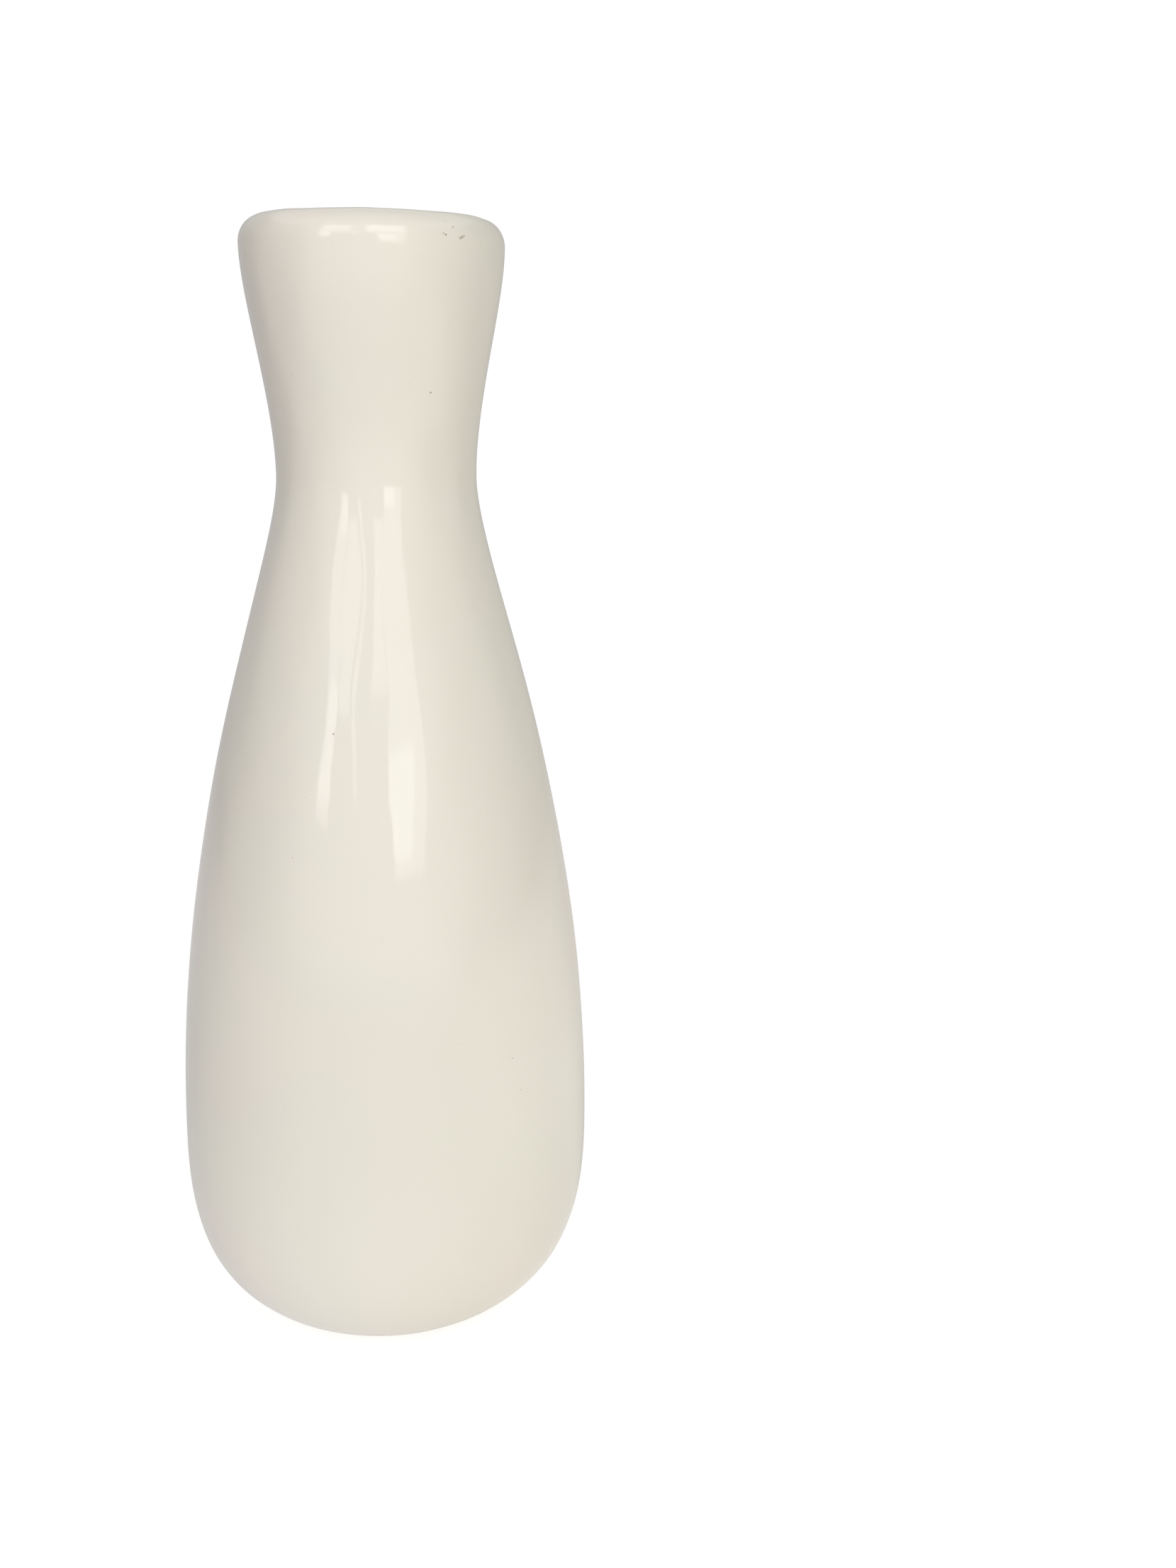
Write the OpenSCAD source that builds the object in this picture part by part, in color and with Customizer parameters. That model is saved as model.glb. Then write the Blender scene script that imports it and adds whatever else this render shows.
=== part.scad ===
// Bud vase in slip-cast, glazed ceramic.
// A tall bottle: a low round belly, one long taper to a narrow neck, and a flared mouth with a
// thick soft lip. Four layers that the kiln joins: the fired clay body, the coat on its outside,
// the liner inside it, and the coat in the recess under its base.
// Millimetres, +Z up, standing on Z = 0, the axis of the vase on the Z axis.

/* [Overall] */
// Height from the foot to the top of the lip, glaze included
vase_h = 203; // [170:1:260]
// Diameter at the widest place of the belly, glaze included
belly_d = 77.8; // [64:0.2:100]
// Height of the widest place of the belly above the table
belly_z = 34.5; // [26:0.5:50]

/* [Neck and mouth] */
// Outer diameter of the neck at its narrowest place
neck_d = 35.8; // [29:0.2:44]
// Distance of that place below the top of the lip
neck_drop = 43.4; // [35:0.2:60]
// Outer diameter of the mouth at its widest place
mouth_d = 46; // [42:0.2:62]
// Distance of the widest place of the mouth below the top of the lip
lip_drop = 4.7; // [3:0.1:7]
// Share of the lip's thickness that its broad outer rounding takes, the rest being its inner edge
lip_share = 0.87; // [0.5:0.01:0.92]
// Height of the rounding of the lip's inner edge
edge_h = 0.8; // [0.4:0.1:1.5]

/* [Foot] */
// Outer diameter of the dry ring that the vase stands on
foot_d = 42.6; // [34:0.2:50]
// Width of the flat on which the ring stands
foot_land = 3.2; // [2:0.1:5]
// Slope of the underside where it leaves the foot, in degrees above level
foot_slope = 28.5; // [20:0.5:40]
// Height of the band above the foot that has no glaze
bare_h = 1.8; // [1:0.1:2.5]
// Depth of the recess under the base
recess_h = 2; // [1.4:0.1:3]
// Width of the soft step from the ring up into the recess
recess_step = 3; // [2:0.1:5]

/* [Wall and glaze] */
// Thickness of the clay wall
wall = 4.5; // [3:0.1:5.5]
// Thickness of the clay floor above the recess
floor_t = 4.8; // [3.5:0.1:7]
// Diameter of the level middle of the floor
floor_d = 22; // [10:1:30]
// Thickness of the glaze on the outside and under the base
glaze = 0.4; // [0.2:0.05:0.8]
// Thickness of the liner glaze inside
liner = 0.35; // [0.2:0.05:0.8]

/* [Curves] */
// How far the underside runs on at the slope of the foot before it turns up (share of its own width)
under_run = 0.83; // [0.6:0.01:0.9]
// How early the belly turns in below its widest place (share of the height there)
belly_turn = 0.475; // [0.35:0.005:0.7]
// How long the body stays full above the belly (share of the height up to the neck)
shoulder_hold = 0.524; // [0.4:0.002:0.65]
// How soon the neck straightens above the taper (share of the same height)
neck_hold = 0.128; // [0.08:0.002:0.25]
// How long the neck stays narrow below the flare (share of the height of the flare)
flare_start = 0.35; // [0.2:0.01:0.5]
// How early the flare turns upright below the lip (share of the height of the flare)
flare_end = 0.25; // [0.15:0.01:0.4]

/* [Hidden] */

cream = [0.92, 0.89, 0.82];
liner_cream = [0.87, 0.83, 0.75];
base_cream = [0.89, 0.86, 0.78];
bare_clay = [0.80, 0.73, 0.63];

bowl_pull = 0.72;     // how square the corner of the bowl is, from 0 for a straight slope to 1
round_facets = 120;   // sides of each turned solid
base_steps = 12;      // points along the step of the recess, an even number
under_steps = 24;     // points from the bare band up to the belly
taper_steps = 40;     // points from the belly up to the neck
flare_steps = 24;     // points from the neck up to the lip
lip_steps = 12;       // points round the outside of the lip
edge_steps = 8;       // points round the inner edge of the lip
bowl_steps = 20;      // points from the inner wall down to the level middle of the floor

// Every point below is [radius, height], and lies on the clay, under the glaze.

// Cubic curve through a and d, pulled towards b and c, without its first point.
function curve(a, b, c, d, steps) = [for (i = [1:steps]) let (t = i / steps, s = 1 - t)
    s * s * s * a + 3 * s * s * t * b + 3 * s * t * t * c + t * t * t * d];

// Quarter of an ellipse about centre, from angle from_deg through 90 degrees, without its first point.
function quarter(centre, across, up, from_deg, steps) = [for (i = [1:steps])
    let (a = from_deg + 90 * i / steps) centre + [across * cos(a), up * sin(a)]];

// The points of a line from index first to index last.
function stretch(line, first, last) = [for (i = [first:last]) line[i]];

// The same points in the opposite order.
function backwards(line) = [for (i = [len(line) - 1:-1:0]) line[i]];

// A line's neighbours of point i. A line that ends on the axis is carried on as its own mirror image.
function across_axis(p) = [-p[0], p[1]];
function before(line, i) = i > 0 ? line[i - 1]
    : line[0][0] == 0 ? across_axis(line[1]) : line[0];
function after(line, i) = i < len(line) - 1 ? line[i + 1]
    : line[i][0] == 0 ? across_axis(line[i - 1]) : line[i];

// Unit vector square to the line at point i, to the right of the way that the line runs.
function square_to(line, i) = let (d = after(line, i) - before(line, i)) [d[1], -d[0]] / norm(d);

// The line moved sideways by a distance, to the right of the way that it runs.
function beside(line, distance) = [for (i = [0:len(line) - 1]) line[i] + distance * square_to(line, i)];

foot_dir = [cos(foot_slope), sin(foot_slope)];
ring_edge = [foot_d / 2, 0];
glaze_edge = ring_edge + foot_dir * bare_h / sin(foot_slope);
belly = [belly_d / 2 - glaze, belly_z];
neck = [neck_d / 2 - glaze, vase_h - neck_drop];
mouth = [mouth_d / 2 - glaze, vase_h - lip_drop];
crown = [mouth[0] - lip_share * wall, vase_h - glaze];

// Outside of the clay: underside, taper and flare, from the glaze edge up to the widest place of
// the mouth.
under_width = belly[0] - glaze_edge[0];
taper_h = neck[1] - belly[1];
flare_h = mouth[1] - neck[1];
under_line = curve(glaze_edge, glaze_edge + foot_dir * under_run * under_width / foot_dir[0],
    belly - [0, belly_turn * (belly[1] - glaze_edge[1])], belly, under_steps);
taper_line = curve(belly, belly + [0, shoulder_hold * taper_h],
    neck - [0, neck_hold * taper_h], neck, taper_steps);
flare_line = curve(neck, neck + [0, flare_start * flare_h],
    mouth - [0, flare_end * flare_h], mouth, flare_steps);
outside = concat([glaze_edge], under_line, taper_line, flare_line);

// Lip: a broad round from the widest place in to the crown, then a small one down to the inner wall.
inner_edge = [mouth[0] - wall, crown[1] - edge_h];
lip_line = quarter([crown[0], mouth[1]], mouth[0] - crown[0], crown[1] - mouth[1], 0, lip_steps);
edge_line = quarter([crown[0], inner_edge[1]], crown[0] - inner_edge[0], edge_h, 90, edge_steps);

// Inside of the clay: one wall's thickness in from the outside, down to just below the belly, and
// from there a bowl that runs on in the same direction and turns level at the floor.
floor_z = recess_h + floor_t;
bowl_from = under_steps * 2 / 3;
wall_line = backwards(stretch(beside(outside, -wall), bowl_from, len(outside) - 1));
bowl_top = wall_line[len(wall_line) - 1];
bowl_normal = square_to(outside, bowl_from);
bowl_fall = [bowl_normal[1] / bowl_normal[0], -1] * (bowl_top[1] - floor_z);
floor_edge = [floor_d / 2, floor_z];
floor_run = bowl_top[0] + bowl_fall[0] - floor_edge[0];
bowl_line = curve(bowl_top, bowl_top + bowl_pull * bowl_fall, floor_edge + [bowl_pull * floor_run, 0],
    floor_edge, bowl_steps);

// Under the base: level from the axis, a soft step down, and the flat ring.
ring_inside = [foot_d / 2 - foot_land, 0];
step_top = [ring_inside[0] - recess_step, recess_h];
step_mid = ring_inside[0] - recess_step / 2;
step_line = curve(step_top, [step_mid, recess_h], [step_mid, 0], ring_inside, base_steps);
base_line = concat([[0, recess_h], step_top], step_line);

// The whole section of the clay, once round, with the clay to the left of the line.
clay_line = concat(base_line, [ring_edge], outside, lip_line, edge_line, wall_line, bowl_line,
    [[0, floor_z]]);
base_stop = 1 + base_steps / 2;
outer_start = len(base_line) + 1;
outer_stop = outer_start + len(outside) - 1 + lip_steps + edge_steps;
inner_stop = len(clay_line) - 1;
clay_normals = [for (i = [0:inner_stop]) square_to(clay_line, i)];

// A coat of glaze on the clay, from one point of the section to another.
function coat(first, last, thick) = concat(stretch(clay_line, first, last),
    [for (i = [last:-1:first]) clay_line[i] + thick * clay_normals[i]]);

module turned(section) rotate_extrude($fn = round_facets) polygon(section);

// Fired clay: wall, floor, lip and the dry ring that it stands on.
module clay_body() color(bare_clay) turned(clay_line);

// Glaze outside, from the bare band up over the lip and just into the mouth.
module outer_glaze() color(cream) turned(coat(outer_start, outer_stop, glaze));

// Liner glaze, from the inner edge of the lip down to the floor.
module inner_glaze() color(liner_cream) turned(coat(outer_stop, inner_stop, liner));

// Glaze in the recess under the base, wiped off the ring.
module base_glaze() color(base_cream) turned(coat(0, base_stop, glaze));

clay_body();
outer_glaze();
inner_glaze();
base_glaze();
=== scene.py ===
"""A tall bud vase in cream glaze: the turned clay, its three coats of glaze, and the studio round it."""
import math

import bpy
import numpy as np
from mathutils import Matrix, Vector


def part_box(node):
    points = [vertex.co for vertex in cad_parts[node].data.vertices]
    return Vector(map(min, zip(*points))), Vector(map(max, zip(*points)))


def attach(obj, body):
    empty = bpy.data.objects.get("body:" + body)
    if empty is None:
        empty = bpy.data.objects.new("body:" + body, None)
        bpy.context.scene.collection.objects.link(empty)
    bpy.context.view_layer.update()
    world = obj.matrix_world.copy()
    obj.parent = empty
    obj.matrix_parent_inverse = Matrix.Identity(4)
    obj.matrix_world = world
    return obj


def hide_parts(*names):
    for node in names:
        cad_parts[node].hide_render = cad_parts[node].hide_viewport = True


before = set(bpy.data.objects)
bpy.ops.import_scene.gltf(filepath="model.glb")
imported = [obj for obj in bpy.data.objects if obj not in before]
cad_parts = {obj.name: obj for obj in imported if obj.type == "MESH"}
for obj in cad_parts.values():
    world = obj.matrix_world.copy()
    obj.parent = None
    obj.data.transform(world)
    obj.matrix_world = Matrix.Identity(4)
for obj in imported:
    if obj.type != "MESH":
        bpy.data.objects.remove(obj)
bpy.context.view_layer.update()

MM = 0.001

# ---------------------------------------------------------------- sizes

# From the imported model.
vase_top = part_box("outer_glaze")[1].z
belly_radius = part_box("outer_glaze")[1].x
clay_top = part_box("clay_body")[1].z
floor_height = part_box("inner_glaze")[0].z
recess_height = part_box("base_glaze")[1].z
glaze = vase_top - clay_top

# The same design values as the model's, as radii and heights in metres.
belly_height = 34.5 * MM
neck_radius = 17.9 * MM
neck_height = vase_top - 43.4 * MM
mouth_radius = 23.0 * MM
mouth_height = vase_top - 4.7 * MM
foot_radius = 21.3 * MM
foot_land = 3.2 * MM
foot_slope = math.radians(28.5)
bare_height = 1.8 * MM
recess_step = 3.0 * MM
wall = 4.5 * MM
liner = 0.35 * MM
floor_radius = 11.0 * MM
lip_share = 0.87
edge_height = 0.8 * MM
under_run = 0.83
belly_turn = 0.475
shoulder_hold = 0.524
neck_hold = 0.128
flare_start = 0.35
flare_end = 0.25
bowl_pull = 0.72


# Every curve of the section is divided into a multiple of this many steps.
FINENESS = 4
# Points along the level middle of the underside.
LEVEL_POINTS = 7

# ---------------------------------------------------------------- the section of the vase

def point(radius, height):
    """One place on the section: its distance from the axis and its height."""
    return np.array([radius, height])


def curve(a, b, c, d, steps):
    """Cubic Bezier curve from a to d, pulled towards b and c, without its first point."""
    t = np.linspace(0, 1, steps + 1)[1:, None]
    s = 1 - t
    return s**3 * a + 3 * s**2 * t * b + 3 * s * t**2 * c + t**3 * d


def quarter(centre, across, up, start, steps):
    """Quarter of an ellipse: centre plus across times cosine and up times sine, from the angle start."""
    angle = start + np.linspace(0, math.pi / 2, steps + 1)[1:]
    return centre + np.stack([across * np.cos(angle), up * np.sin(angle)], axis=1)


def square_to(line):
    """Unit vectors square to the line, on its right. A line that ends on the axis runs on as its mirror."""
    first = line[1] * (-1, 1) if line[0, 0] == 0 else 2 * line[0] - line[1]
    last = line[-2] * (-1, 1) if line[-1, 0] == 0 else 2 * line[-1] - line[-2]
    whole = np.vstack([first, line, last])
    along = whole[2:] - whole[:-2]
    return np.stack([along[:, 1], -along[:, 0]], axis=1) / np.linalg.norm(along, axis=1)[:, None]


def outside_line(fineness):
    """The clay's outside from the edge of the glaze up to the widest place of the mouth."""
    slope = point(math.cos(foot_slope), math.sin(foot_slope))
    start = point(foot_radius, 0) + slope * bare_height / math.sin(foot_slope)
    belly = point(belly_radius - glaze, belly_height)
    neck = point(neck_radius - glaze, neck_height)
    mouth = point(mouth_radius - glaze, mouth_height)
    run = slope * under_run * (belly[0] - start[0]) / slope[0]
    turn = point(0, belly_turn * (belly[1] - start[1]))
    taper = point(0, neck[1] - belly[1])
    flare = point(0, mouth[1] - neck[1])
    under = curve(start, start + run, belly - turn, belly, 12 * fineness)
    body = curve(belly, belly + shoulder_hold * taper, neck - neck_hold * taper, neck, 30 * fineness)
    top = curve(neck, neck + flare_start * flare, mouth - flare_end * flare, mouth, 18 * fineness)
    return np.vstack([start, under, body, top])


def lip_line(fineness):
    """The clay's lip: a broad round from its widest place to the crown, and a small one down to the wall."""
    mouth = mouth_radius - glaze
    crown = mouth - lip_share * wall
    outer = quarter(point(crown, mouth_height), mouth - crown, clay_top - mouth_height, 0, 9 * fineness)
    inner = quarter(point(crown, clay_top - edge_height), crown - mouth + wall, edge_height,
                    math.pi / 2, 5 * fineness)
    return np.vstack([outer, inner])


def inside_line(fineness):
    """The clay's inside, a wall's thickness in from the outside, then a bowl down to the level floor."""
    outside = outside_line(fineness)
    normals = square_to(outside)
    turn = 8 * fineness
    wall_part = (outside - wall * normals)[turn:][::-1]
    top = wall_part[-1]
    normal = normals[turn]
    fall = np.array([normal[1] / normal[0], -1]) * (top[1] - floor_height)
    edge = point(floor_radius, floor_height)
    run = point(top[0] + fall[0] - floor_radius, 0)
    bowl = curve(top, top + bowl_pull * fall, edge + bowl_pull * run, edge, 10 * fineness)
    level = np.stack([np.linspace(floor_radius, 0, 5)[1:], np.full(4, floor_height)], axis=1)
    return np.vstack([wall_part, bowl, level])


def base_line(fineness):
    """The clay's underside from the axis out: level, a soft step down, and the flat ring, its rim eased."""
    ring_inner = foot_radius - foot_land
    ease = 0.35 * MM
    step_top = point(ring_inner - recess_step, recess_height)
    middle = ring_inner - recess_step / 2
    level_radii = np.linspace(0, step_top[0], LEVEL_POINTS)
    level = np.stack([level_radii, np.full(LEVEL_POINTS, recess_height)], axis=1)
    step = curve(step_top, point(middle, recess_height), point(middle, 0), point(ring_inner, 0), 8 * fineness)
    slope = point(math.cos(foot_slope), math.sin(foot_slope))
    ring_outer = point(foot_radius, 0)
    ring = np.stack([np.linspace(ring_inner, foot_radius - ease, 5)[1:], np.zeros(4)], axis=1)
    corner = curve(ring[-1], ring_outer, ring_outer, ring_outer + ease * slope, 2 * fineness)
    return np.vstack([level, step, ring, corner])


def radius_at(height):
    """Radius of the glazed outside at a height, read off the section."""
    fineness = 6
    outer = np.vstack([outside_line(fineness), lip_line(fineness)[:9 * fineness]])
    outer = outer + glaze * square_to(outer)
    return float(np.interp(height, outer[:, 1], outer[:, 0]))


# ---------------------------------------------------------------- turned surfaces

def unevenness(azimuth, height, seed, waves):
    """Slow hand-made waviness from 0 to 1: a sum of sines in azimuth and height with seeded phases."""
    rng = np.random.default_rng(seed)
    total = np.zeros(np.broadcast(azimuth, height).shape)
    weight = 0
    for turns, length, share in waves:
        for sense in (-1, 1):
            phase = rng.uniform(0, 2 * math.pi)
            total += share * np.sin(turns * azimuth * sense + 2 * math.pi * height / length + phase)
            weight += share
    return 0.5 + 0.5 * total / weight


def turned(name, section, columns, closed, dent=None, thin=None):
    """A solid of revolution: each point of the section is carried once round the axis.

    x is radius times the sine of azimuth, and y is minus radius times its cosine, so azimuth 0 is the front.
    The section runs with the solid on its left. A closed section joins its last ring to its first; an
    open one starts and ends on the axis, where all the points of a ring are one. dent gives, for rings
    and azimuths, how far the surface is set back along the section's normal. thin gives, for each ring,
    how thin the glaze is, from 0 to 1, and becomes the points' attribute of that name.
    """
    azimuth = np.linspace(0, 2 * math.pi, columns, endpoint=False)[None, :]
    radius = section[:, :1] + 0 * azimuth
    height = section[:, 1:] + 0 * azimuth
    if dent is not None:
        inward = -square_to(section)
        depth = dent(azimuth, height)
        radius = radius + inward[:, :1] * depth
        height = height + inward[:, 1:] * depth
    grid = np.stack([radius * np.sin(azimuth), -radius * np.cos(azimuth), height], axis=2)
    rings = len(section)
    index = np.arange(rings * columns).reshape(rings, columns)
    if not closed:
        index[0] = 0
        index[-1] = index[-1, 0]
    low = index if closed else index[:-1]
    high = np.roll(index, -1, axis=0) if closed else index[1:]
    faces = np.stack([low, np.roll(low, -1, axis=1), np.roll(high, -1, axis=1), high], axis=2).reshape(-1, 4)
    thinness = None if thin is None else np.repeat(thin, columns)
    return mesh_object(name, grid.reshape(-1, 3), faces, thinness)


def mesh_object(name, points, faces, thinness=None):
    """A smooth mesh object at the origin from points and four-cornered faces, some folded to three."""
    used, faces = np.unique(faces, return_inverse=True)
    faces = faces.reshape(-1, 4)
    points = points[used]
    folded = (faces[:, 0] == faces[:, 1]) | (faces[:, 2] == faces[:, 3])
    three = np.where((faces[:, 0] == faces[:, 1])[:, None], faces[:, [0, 2, 3]], faces[:, [0, 1, 2]])[folded]
    four = faces[~folded]
    mesh = bpy.data.meshes.new(name)
    mesh.vertices.add(len(points))
    mesh.vertices.foreach_set("co", points.astype(np.float32).ravel())
    corners = np.concatenate([four.ravel(), three.ravel()]).astype(np.int32)
    starts = np.concatenate([np.arange(len(four)) * 4, len(four) * 4 + np.arange(len(three)) * 3])
    mesh.loops.add(len(corners))
    mesh.loops.foreach_set("vertex_index", corners)
    mesh.polygons.add(len(starts))
    mesh.polygons.foreach_set("loop_start", starts.astype(np.int32))
    mesh.update(calc_edges=True)
    mesh.validate()
    if thinness is not None:
        layer = mesh.attributes.new("thin", "FLOAT", "POINT")
        layer.data.foreach_set("value", thinness[used].astype(np.float32))
    mesh.shade_smooth()
    piece = bpy.data.objects.new(name, mesh)
    bpy.context.scene.collection.objects.link(piece)
    return piece


def coat(line, thickness, coarse):
    """Section of a coat of glaze on a stretch of clay: its face, and back along the clay at fewer points."""
    face = line + thickness[:, None] * square_to(line)
    back = line[::-1]
    keep = np.unique(np.concatenate([np.arange(0, len(back), coarse), [len(back) - 1]]))
    return face, back[keep]


def distance_along(line):
    """Distance of each point of a line from its start, measured along the line."""
    steps = np.linalg.norm(np.diff(line, axis=0), axis=1)
    return np.concatenate([[0], np.cumsum(steps)])


def eased(line, full, length):
    """Thickness that rises as a round edge does, from almost nothing to full within a length of the start."""
    share = np.clip(distance_along(line) / length, 0.0015, 1)
    return full * np.sqrt(1 - (1 - share) ** 2)


# ---------------------------------------------------------------- pieces

def make_clay_body():
    """The fired clay, whole, as the glaze leaves it: only the foot ring shows."""
    stretches = (base_line, outside_line, lip_line, inside_line)
    section = np.vstack([make_line(FINENESS) for make_line in stretches])

    def dent(azimuth, height):
        """The dry ring is rubbed a little uneven below the glaze, and the rest is left true."""
        rough = unevenness(azimuth, height, 11, ((5, 9 * MM, 1), (13, 5 * MM, 0.5), (31, 4 * MM, 0.3)))
        low = np.clip(1 - height / (1.6 * MM), 0, 1) * np.clip(height / (0.3 * MM), 0, 1)
        return 0.06 * MM * rough * low

    return turned("fired_clay_body", section, 160, False, dent)


# Ripple of the glaze: waves round the vase, their length up it, and their share.
GLAZE_WAVES = ((4, 120 * MM, 0.8), (7, 62 * MM, 1.0), (11, 47 * MM, 0.8), (17, 31 * MM, 0.4))


def make_outer_glaze():
    """The coat outside, over the lip and just into the mouth, with the slow ripple of poured glaze."""
    line = np.vstack([outside_line(FINENESS), lip_line(FINENESS)])
    face, back = coat(line, eased(line, glaze, 0.7 * MM), 6)
    section = np.vstack([face, back])
    from_foot = distance_along(face)
    from_end = from_foot[-1] - from_foot
    shown = np.zeros((len(section), 1))
    shown[:len(face), 0] = np.clip(from_foot / (14 * MM), 0, 1) * np.clip(from_end / (2.5 * MM), 0, 1)
    thin = np.zeros(len(section))
    thin_at_foot = np.clip(1 - from_foot / (1.6 * MM), 0, 1)
    thin_at_lip = 0.5 * np.clip(1 - from_end / (1.2 * MM), 0, 1)
    thin[:len(face)] = thin_at_foot + thin_at_lip

    def dent(azimuth, height):
        """Up to 0.3 mm of ripple on the face of the coat, none on the clay's side."""
        return 0.3 * MM * shown * unevenness(azimuth, height, 5, GLAZE_WAVES)

    return turned("outer_glaze_coat", section, 256, True, dent, thin)


def make_inner_glaze():
    """The liner inside, growing in its top few millimetres to meet the outer coat flush at the lip."""
    line = np.vstack([lip_line(FINENESS)[-1], inside_line(FINENESS)])
    thickening = np.clip((line[:, 1] - vase_top + 6 * MM) / (4.8 * MM), 0, 1)
    thickness = liner + (glaze - liner) * thickening
    face, back = coat(line, thickness, 3)
    section = np.vstack([back, face])
    thin = np.zeros(len(section))
    thin[len(back):] = 0.5 * np.clip(1 - distance_along(face) / (1.2 * MM), 0, 1)
    return turned("inner_glaze_coat", section, 192, False, None, thin)


def make_base_glaze():
    """The coat in the recess under the base, ending halfway down the step to the wiped ring."""
    half_of_step = 4 * FINENESS
    line = base_line(FINENESS)[:LEVEL_POINTS + half_of_step]
    thickness = eased(line[::-1], glaze, 0.6 * MM)[::-1]
    face, back = coat(line, thickness, 2)
    section = np.vstack([face, back])
    thin = np.zeros(len(section))
    thin[:len(face)] = np.clip(1 - distance_along(face[::-1])[::-1] / (1.5 * MM), 0, 1)
    return turned("base_glaze_coat", section, 160, False, None, thin)


# ---------------------------------------------------------------- shader helpers

def tone(red, green, blue):
    """A display colour, each part from 0 to 255, as the linear colour that shaders take."""
    parts = np.array([red, green, blue]) / 255
    linear = np.where(parts <= 0.04045, parts / 12.92, ((parts + 0.055) / 1.055) ** 2.4)
    return (*linear.tolist(), 1.0)


def add_node(tree, kind, inputs=None, **settings):
    """A node with its settings, and with each named or numbered input set to a value or linked."""
    node = tree.nodes.new(kind)
    for key, value in settings.items():
        setattr(node, key, value)
    for key, value in (inputs or {}).items():
        if isinstance(value, bpy.types.NodeSocket):
            tree.links.new(value, node.inputs[key])
        else:
            node.inputs[key].default_value = value
    return node


def calculate(tree, operation, first, second):
    """The result of one calculation, as a socket."""
    return add_node(tree, "ShaderNodeMath", {0: first, 1: second}, operation=operation).outputs[0]


def spread(tree, value, low, high, to_low=0.0, to_high=1.0):
    """A value carried smoothly from one range to another, and held at its ends."""
    node = add_node(tree, "ShaderNodeMapRange",
                    {"Value": value, "From Min": low, "From Max": high, "To Min": to_low, "To Max": to_high},
                    interpolation_type="SMOOTHSTEP")
    return node.outputs[0]


def blend(tree, share, first, second):
    """One colour mixed into another by a share, as a socket."""
    node = add_node(tree, "ShaderNodeMix", data_type="RGBA")
    for socket, value in ((node.inputs[0], share), (node.inputs[6], first), (node.inputs[7], second)):
        if isinstance(value, bpy.types.NodeSocket):
            tree.links.new(value, socket)
        else:
            socket.default_value = value
    return node.outputs[2]


def new_group(name, inputs, outputs):
    """An empty shader node group with its sockets, and its input and output nodes."""
    group = bpy.data.node_groups.new(name, "ShaderNodeTree")
    for label, kind in inputs:
        group.interface.new_socket(label, in_out="INPUT", socket_type=kind)
    for label, kind in outputs:
        group.interface.new_socket(label, in_out="OUTPUT", socket_type=kind)
    return group, group.nodes.new("NodeGroupInput").outputs, group.nodes.new("NodeGroupOutput")


def use_group(tree, group, inputs):
    """A group placed in a tree with its own values. Returns its outputs."""
    return add_node(tree, "ShaderNodeGroup", inputs, node_tree=group).outputs


def noise(tree, place, length, detail=2.0, rough=0.5):
    """Cloudy noise from about 0.3 to 0.7 whose patches are about a length across, in metres."""
    node = add_node(tree, "ShaderNodeTexNoise",
                    {"Vector": place, "Scale": 1 / length, "Detail": detail, "Roughness": rough})
    return node.outputs[0]


# ---------------------------------------------------------------- shared effects

def make_speck_group():
    """Scattered round specks: near a cell's centre, in the share of the cells that Chance keeps."""
    group, given, result = new_group(
        "Scattered specks",
        [("Vector", "NodeSocketVector"), ("Cells per metre", "NodeSocketFloat"), ("Size", "NodeSocketFloat"),
         ("Chance", "NodeSocketFloat")],
        [("Mask", "NodeSocketFloat")])
    cells = add_node(group, "ShaderNodeTexVoronoi", {"Vector": given[0], "Scale": given[1]})
    edge = calculate(group, "MULTIPLY", given[2], given[1])
    near = calculate(group, "SUBTRACT", 1.0, calculate(group, "DIVIDE", cells.outputs["Distance"], edge))
    draw = add_node(group, "ShaderNodeSeparateColor", {0: cells.outputs["Color"]}).outputs[0]
    kept = calculate(group, "LESS_THAN", draw, given[3])
    mask = calculate(group, "MULTIPLY", spread(group, near, 0.0, 0.6), kept)
    group.links.new(mask, result.inputs[0])
    return group


def make_mottle_group():
    """Slow cloudy variation of a glaze from 0 to 1, broad patches with finer ones in them."""
    group, given, result = new_group(
        "Kiln mottle",
        [("Vector", "NodeSocketVector"), ("Patches per metre", "NodeSocketFloat")],
        [("Share", "NodeSocketFloat")])
    broad = add_node(group, "ShaderNodeTexNoise",
                     {"Vector": given[0], "Scale": given[1], "Detail": 3.0, "Roughness": 0.55})
    group.links.new(spread(group, broad.outputs[0], 0.36, 0.64), result.inputs[0])
    return group


def make_mark_group():
    """One round mark: its strength at its place, fading to 0 at its radius."""
    group, given, result = new_group(
        "Kiln mark",
        [("Vector", "NodeSocketVector"), ("Place", "NodeSocketVector"), ("Radius", "NodeSocketFloat"),
         ("Strength", "NodeSocketFloat")],
        [("Mask", "NodeSocketFloat")])
    apart = add_node(group, "ShaderNodeVectorMath", {0: given[0], 1: given[1]}, operation="DISTANCE")
    away = apart.outputs["Value"]
    share = calculate(group, "SUBTRACT", 1.0, calculate(group, "DIVIDE", away, given[2]))
    mask = calculate(group, "MULTIPLY", spread(group, share, 0.0, 0.7), given[3])
    group.links.new(mask, result.inputs[0])
    return group


specks = make_speck_group()
mottle = make_mottle_group()
mark = make_mark_group()

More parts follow.
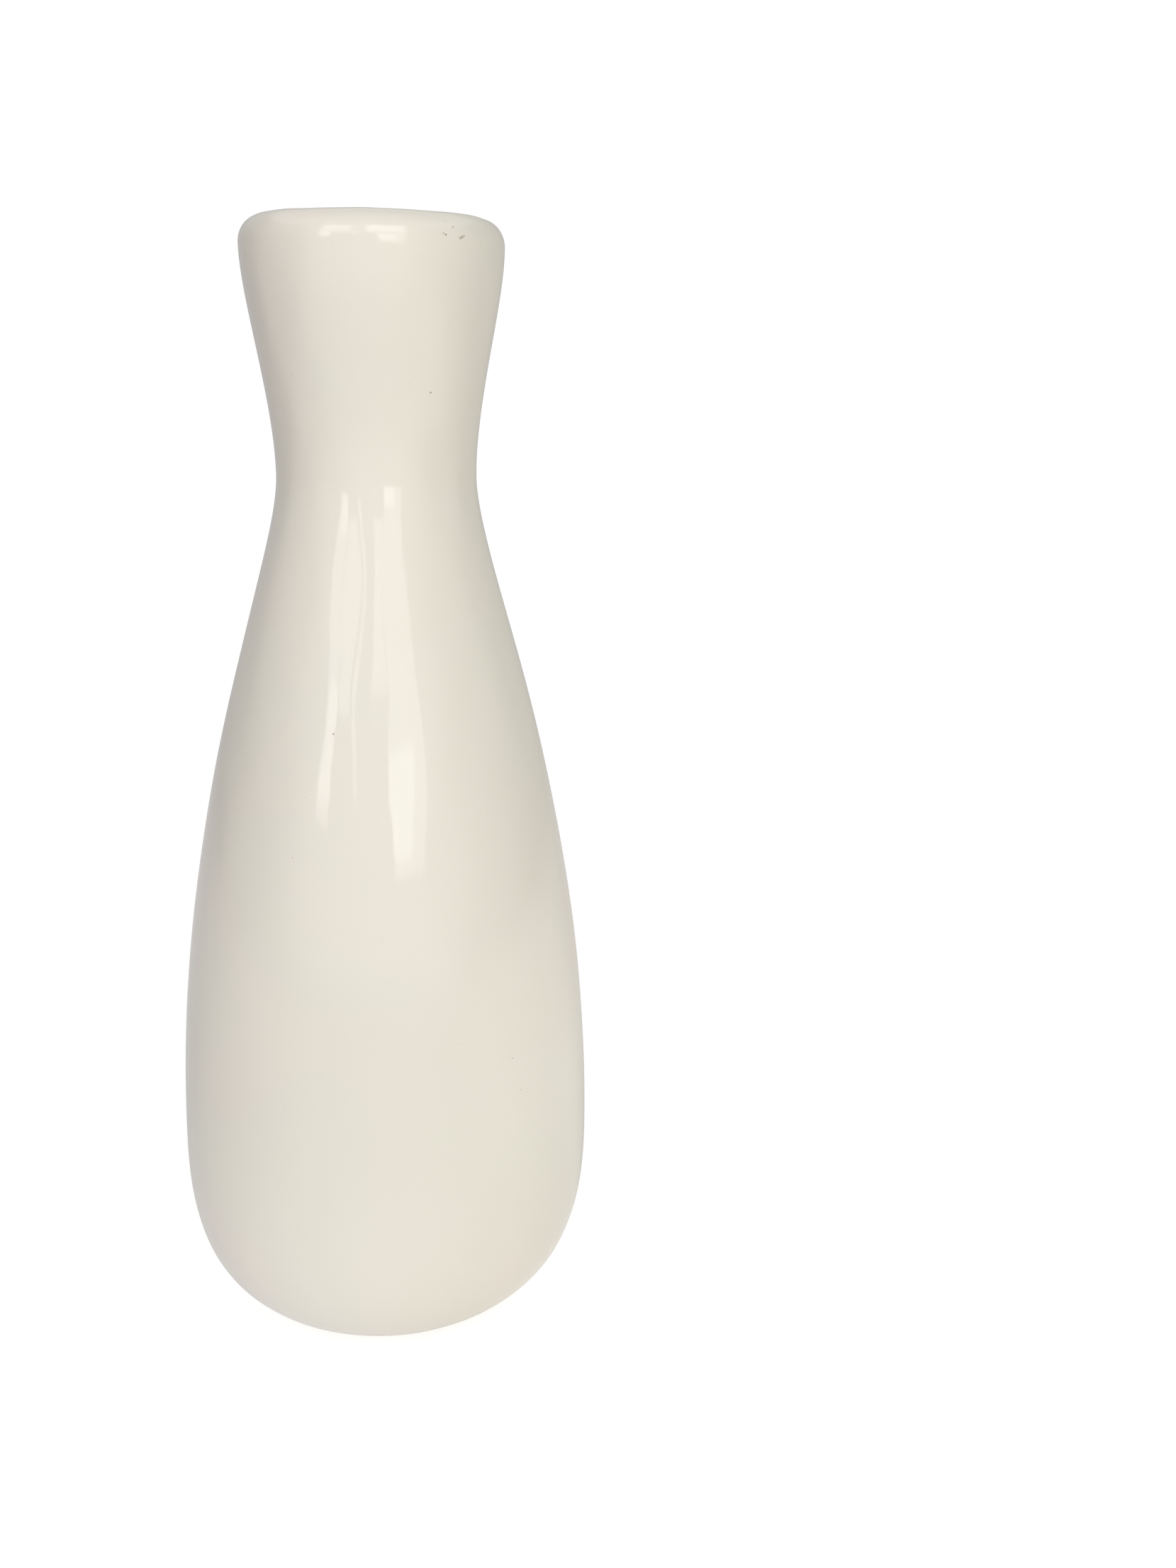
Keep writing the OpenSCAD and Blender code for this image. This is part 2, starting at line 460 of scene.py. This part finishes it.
# Small faults in the glaze: azimuth from the front in degrees (towards +X), height in mm, radius in mm,
# strength.
KILN_MARKS = (
    (37.5, 199.2, 0.32, 0.8), (38.6, 199.0, 0.34, 1.0), (42.4, 200.2, 0.26, 0.8), (43.3, 200.4, 0.26, 0.8),
    (45.8, 198.6, 0.30, 0.9), (46.9, 198.8, 0.32, 1.0), (48, 199.0, 0.26, 0.8), (40, 201.3, 0.28, 0.5),
    (-61, 200.5, 0.30, 0.4), (-61.5, 200, 0.30, 0.4), (-61, 196.1, 0.30, 0.45), (-61, 195.6, 0.30, 0.45),
    (-24, 196.6, 0.20, 0.3), (36, 174, 0.26, 1.0), (-37, 176.5, 0.22, 0.6), (-9.5, 118, 0.22, 0.9),
    (-21, 97, 0.22, 0.9), (-18, 82.5, 0.22, 0.9), (-54.5, 75.5, 0.24, 0.9), (-33.5, 84, 0.20, 0.5),
    (61, 132.5, 0.22, 0.4), (43, 59.5, 0.22, 0.9), (-10.5, 60, 0.22, 0.9), (45.5, 53, 0.20, 0.5))

# Broad patches where the glaze came out a little cooler, given in the same way.
COOL_PATCHES = (
    (27, 96, 26, 0.8), (33, 118, 20, 0.6), (2, 42, 36, 0.85), (-4, 26, 24, 0.6), (150, 60, 34, 0.7),
    (-120, 105, 30, 0.7))


def on_surface(azimuth, height):
    """The place on the glazed outside at an azimuth in degrees and a height in mm."""
    angle = math.radians(azimuth)
    radius = radius_at(height * MM)
    return (radius * math.sin(angle), -radius * math.cos(angle), height * MM)


def kiln_marks(tree, place, marks):
    """All the marks of a list at once: the strongest of their masks."""
    total = 0.0
    for azimuth, height, radius, strength in marks:
        one = use_group(tree, mark, {"Vector": place, "Place": on_surface(azimuth, height),
                                     "Radius": radius * MM, "Strength": strength})[0]
        total = calculate(tree, "MAXIMUM", one, total)
    return total


# ---------------------------------------------------------------- materials

def new_material(name):
    """An empty node material. Returns it, its tree, its Principled shader and its Object coordinates."""
    material = bpy.data.materials.new(name)
    material.use_nodes = True
    tree = material.node_tree
    shader = tree.nodes["Principled BSDF"]
    place = add_node(tree, "ShaderNodeTexCoord").outputs["Object"]
    return material, tree, shader, place


# How much of each fault's own colour shows in the glaze.
THIN_SHARE = 0.55
DUST_SHARE = 0.16
HOLE_SHARE = 0.85

# The fine ripple under the gloss: the shares of its slow and quick waves, and how deep it goes.
SLOW_RIPPLE = 0.5
QUICK_RIPPLE = 0.18
RIPPLE_DEPTH = 0.05 * MM


def glaze_material(name, warm, cool, thin, faults):
    """Glossy cream glaze: faint warm and cool mottle, clay showing where it is thin, specks and pinholes.

    With faults, the glaze also takes the listed kiln marks and cool patches.
    """
    material, tree, shader, place = new_material(name)
    share = use_group(tree, mottle, {"Vector": place, "Patches per metre": 34.0})[0]
    if faults:
        patches = kiln_marks(tree, place, COOL_PATCHES)
        share = calculate(tree, "MULTIPLY", share, calculate(tree, "SUBTRACT", 1.0, patches))
    colour = blend(tree, share, cool, warm)
    thinness = add_node(tree, "ShaderNodeAttribute", attribute_name="thin").outputs["Fac"]
    colour = blend(tree, calculate(tree, "MULTIPLY", thinness, THIN_SHARE), colour, thin)
    dust = use_group(tree, specks, {"Vector": place, "Cells per metre": 520.0,
                                    "Size": 0.16 * MM, "Chance": 0.16})[0]
    colour = blend(tree, calculate(tree, "MULTIPLY", dust, DUST_SHARE), colour, tone(150, 128, 98))
    holes = use_group(tree, specks, {"Vector": place, "Cells per metre": 60.0,
                                     "Size": 0.30 * MM, "Chance": 0.9})[0]
    if faults:
        holes = calculate(tree, "MAXIMUM", holes, kiln_marks(tree, place, KILN_MARKS))
    colour = blend(tree, calculate(tree, "MULTIPLY", holes, HOLE_SHARE), colour, tone(120, 106, 86))
    upright = add_node(tree, "ShaderNodeMapping", {"Vector": place, "Scale": (1, 1, 0.1)}).outputs[0]
    slow = calculate(tree, "MULTIPLY", noise(tree, upright, 4.5 * MM, 2.0, 0.4), SLOW_RIPPLE)
    quick = calculate(tree, "MULTIPLY", noise(tree, upright, 1.1 * MM, 1.0, 0.4), QUICK_RIPPLE)
    height = calculate(tree, "SUBTRACT", calculate(tree, "ADD", slow, quick), holes)
    bump = add_node(tree, "ShaderNodeBump", {"Height": height, "Strength": 1.0, "Distance": RIPPLE_DEPTH})
    rough = spread(tree, noise(tree, place, 9 * MM, 2.0), 0.3, 0.7, 0.045, 0.08)
    tree.links.new(colour, shader.inputs["Base Color"])
    tree.links.new(rough, shader.inputs["Roughness"])
    tree.links.new(bump.outputs[0], shader.inputs["Normal"])
    shader.inputs["IOR"].default_value = 1.5
    return material


def clay_material(name):
    """Dry fired clay: pale warm grey, faintly mottled, with fine sand and grain in it."""
    material, tree, shader, place = new_material(name)
    share = use_group(tree, mottle, {"Vector": place, "Patches per metre": 160.0})[0]
    colour = blend(tree, share, tone(206, 192, 168), tone(218, 206, 184))
    sand = use_group(tree, specks, {"Vector": place, "Cells per metre": 900.0,
                                    "Size": 0.22 * MM, "Chance": 0.3})[0]
    colour = blend(tree, calculate(tree, "MULTIPLY", sand, 0.5), colour, tone(150, 122, 90))
    grain = noise(tree, place, 0.5 * MM, 3.0, 0.65)
    bump = add_node(tree, "ShaderNodeBump", {"Height": grain, "Strength": 0.6, "Distance": 0.12 * MM})
    tree.links.new(colour, shader.inputs["Base Color"])
    tree.links.new(bump.outputs[0], shader.inputs["Normal"])
    tree.links.new(spread(tree, grain, 0.3, 0.7, 0.78, 0.92), shader.inputs["Roughness"])
    return material


# ---------------------------------------------------------------- the vase

cream_glaze = glaze_material(
    "Cream glaze", tone(236, 231, 221), tone(234, 232, 221), tone(222, 206, 178), faults=True)
# The liner is the same cream glaze in a deeper tone, with a deeper thin-glaze colour too: painted shade for
# the inside of the mouth.
liner_glaze = glaze_material(
    "Liner glaze", tone(232, 224, 208), tone(230, 224, 208), tone(216, 200, 172), faults=False)
dry_clay = clay_material("Dry fired clay")

for make, node, slot, material in (
        (make_clay_body, "clay_body", "bare_clay", dry_clay),
        (make_outer_glaze, "outer_glaze", "cream_glaze", cream_glaze),
        (make_inner_glaze, "inner_glaze", "liner_glaze", liner_glaze),
        (make_base_glaze, "base_glaze", "cream_glaze", cream_glaze)):
    piece = make()
    piece.data.materials.append(material)
    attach(piece, "root")
    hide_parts(node)


# ---------------------------------------------------------------- studio

def make_sweep():
    """A round studio floor whose rim curves up into a wall, so that no edge of it shows from any side."""
    flat, bend, top = 1.9, 0.7, 2.2
    floor = np.stack([flat * np.linspace(0, 1, 40) ** 1.5, np.zeros(40)], axis=1)
    rise = quarter(point(flat, bend), bend, bend, -math.pi / 2, 16)
    wall_part = np.array([[flat + bend, top]])
    section = np.vstack([floor, rise, wall_part])
    columns = 96
    azimuth = np.linspace(0, 2 * math.pi, columns + 1)[:-1]
    radius, height = section[:, :1], section[:, 1:] + 0 * azimuth
    grid = np.stack([radius * np.sin(azimuth), -radius * np.cos(azimuth), height], axis=2)
    index = np.arange(grid.shape[0] * columns).reshape(-1, columns)
    index[0] = 0
    low, high = index[:-1], index[1:]
    faces = np.stack([low, high, np.roll(high, -1, axis=1), np.roll(low, -1, axis=1)], axis=2).reshape(-1, 4)
    return mesh_object("studio_sweep", grid.reshape(-1, 3), faces)


# Brightness of the paper as the camera sees it, near the vase and further out. The grey of the paper near
# the vase lets its shadow show.
NEAR_PAPER = 0.80
FAR_PAPER = 1.02
PAPER_GREY = 0.34

# Light that the paper gives the vase from the front, the right, the back and the left: at its foot, further
# out on the floor, and from the wall. Colours of that light at the left and the right.
FOOT_BOUNCE = (0.52, 0.60, 0.30, 0.44)
FLOOR_BOUNCE = (0.22, 0.92, 0.46, 0.30)
WALL_GLOW = (0.98, 0.17, 0.51, 0.05)
LEFT_TINT = (1.0, 0.975, 0.985, 1.0)
RIGHT_TINT = (1.0, 0.965, 0.90, 1.0)


def sweep_material():
    """White paper: nearly even to the camera, with a faint shadow near the vase, and a soft light on it."""
    material, tree, shader, place = new_material("White sweep")
    tree.nodes.remove(shader)
    parts = add_node(tree, "ShaderNodeSeparateXYZ", {0: place}).outputs
    flat_place = add_node(tree, "ShaderNodeCombineXYZ", {0: parts[0], 1: parts[1]}).outputs[0]
    away = add_node(tree, "ShaderNodeVectorMath", {0: flat_place}, operation="LENGTH").outputs["Value"]
    grey = spread(tree, away, 0.15, 0.9, PAPER_GREY, 0.0)
    paper = add_node(tree, "ShaderNodeCombineColor", {0: grey, 1: grey, 2: grey}).outputs[0]
    diffuse = add_node(tree, "ShaderNodeBsdfDiffuse", {"Color": paper})
    shown = spread(tree, away, 0.15, 0.9, NEAR_PAPER, FAR_PAPER)
    aside = calculate(tree, "DIVIDE", parts[0], away)
    behind = calculate(tree, "DIVIDE", parts[1], away)

    def round_the_vase(front, right, back, left):
        """A strength for each quarter of the studio, joined softly."""
        sides = spread(tree, aside, -0.1, 0.1, left, right)
        return spread(tree, behind, -0.9, -0.35, front, spread(tree, behind, 0.35, 0.9, sides, back))

    foot = spread(tree, away, 0.05, 0.16, round_the_vase(*FOOT_BOUNCE), round_the_vase(*FLOOR_BOUNCE))
    lighting = spread(tree, away, 0.3, 1.0, foot, round_the_vase(*WALL_GLOW))
    seen = add_node(tree, "ShaderNodeLightPath").outputs["Is Camera Ray"]
    strength = add_node(tree, "ShaderNodeMix", {0: seen, 2: lighting, 3: shown}, data_type="FLOAT").outputs[0]
    tint = blend(tree, spread(tree, aside, -0.5, 0.7), LEFT_TINT, RIGHT_TINT)
    tint = blend(tree, seen, tint, (1, 1, 1, 1))
    glow = add_node(tree, "ShaderNodeEmission", {"Color": tint, "Strength": strength})
    both = add_node(tree, "ShaderNodeAddShader", {0: diffuse.outputs[0], 1: glow.outputs[0]})
    output = tree.nodes["Material Output"]
    tree.links.new(both.outputs[0], output.inputs["Surface"])
    return material


sweep = make_sweep()
sweep.data.materials.append(sweep_material())


WINDOW_COLOUR = (1.0, 0.985, 0.955)


def add_window(name, left, right, low, high, brightness):
    """A soft light that fills a patch of the view from the vase, aimed at a point above its middle.

    The patch runs from azimuth left to right and from elevation low to high, in degrees.
    """
    distance = 1.7
    aim_height = 0.6 * vase_top
    middle = math.radians((low + high) / 2)
    turn = math.radians((left + right) / 2)
    data = bpy.data.lights.new(name, "AREA")
    data.shape = "RECTANGLE"
    data.size = 2 * distance * math.tan(math.radians(right - left) / 2) * math.cos(middle)
    data.size_y = 2 * distance * math.tan(math.radians(high - low) / 2)
    data.color = WINDOW_COLOUR
    data.energy = brightness * math.pi * data.size * data.size_y
    light = bpy.data.objects.new(name, data)
    bpy.context.scene.collection.objects.link(light)
    out = distance * math.cos(middle)
    light.location = (out * math.sin(turn), -out * math.cos(turn), aim_height + distance * math.sin(middle))
    light.rotation_euler = (math.pi / 2 - middle, 0, turn)
    light.visible_camera = False
    return light


# The panes of the two windows, with the brighter parts of the sky laid over them: azimuths, elevations and
# brightness.
for name, left, right, low, high, brightness in (
        ("left_outer_pane", -37, -27, 6, 42, 1.55),
        ("left_inner_pane", -27, -14.5, 16, 42, 1.5),
        ("left_sliver", -12.5, -9.5, 9.5, 24, 1.5),
        ("left_low_sky", -35, -27, 8, 18, 1.2),
        ("right_inner_pane", 1, 12, 18, 44, 1.5),
        ("right_outer_pane", 12, 37, 3, 46, 1.5),
        ("right_low_sky", 13, 27, 5, 14, 1.5),
        ("left_high_sky", -37, -16, 24, 42, 0.5),
        ("right_high_sky", 3, 36, 24, 44, 1.1)):
    add_window(name, left, right, low, high, brightness)

# A broad soft light from behind, so that the back isn't in the dark. The glaze doesn't mirror it.
back_fill = add_window("back_fill", 158, 202, 3, 33, 2.0)
back_fill.visible_glossy = False

# White light from above the wall, weaker straight overhead.
SKY_LIGHT = 0.74
OVERHEAD_LIGHT = 0.30
world = bpy.data.worlds.new("Studio")
bpy.context.scene.world = world
world.use_nodes = True
sky = world.node_tree
background = sky.nodes["Background"]
background.inputs[0].default_value = (1, 1, 1, 1)
direction = add_node(sky, "ShaderNodeTexCoord").outputs["Generated"]
upward = add_node(sky, "ShaderNodeSeparateXYZ", {0: direction}).outputs[2]
sky.links.new(spread(sky, upward, 0.72, 0.96, SKY_LIGHT, OVERHEAD_LIGHT), background.inputs[1])

# ---------------------------------------------------------------- camera

camera_place = (38.5 * MM, -294.4 * MM, 178.6 * MM)
camera_fall = math.radians(14.433)
camera_roll = math.radians(0.805)
LONG_SIDE_MM = 36.0
camera_data = bpy.data.cameras.new("camera")
camera_data.sensor_width = LONG_SIDE_MM
camera_data.lens = 37.24
camera_data.clip_start = 0.01
camera = bpy.data.objects.new("camera", camera_data)
bpy.context.scene.collection.objects.link(camera)
camera.location = camera_place
camera.rotation_mode = "XYZ"
camera.rotation_euler = (math.pi / 2 - camera_fall, 0, 0)
camera.rotation_euler = (camera.rotation_euler.to_matrix() @ Matrix.Rotation(camera_roll, 3, "Z")).to_euler()
bpy.context.scene.camera = camera
bpy.context.scene.view_settings.view_transform = "Standard"
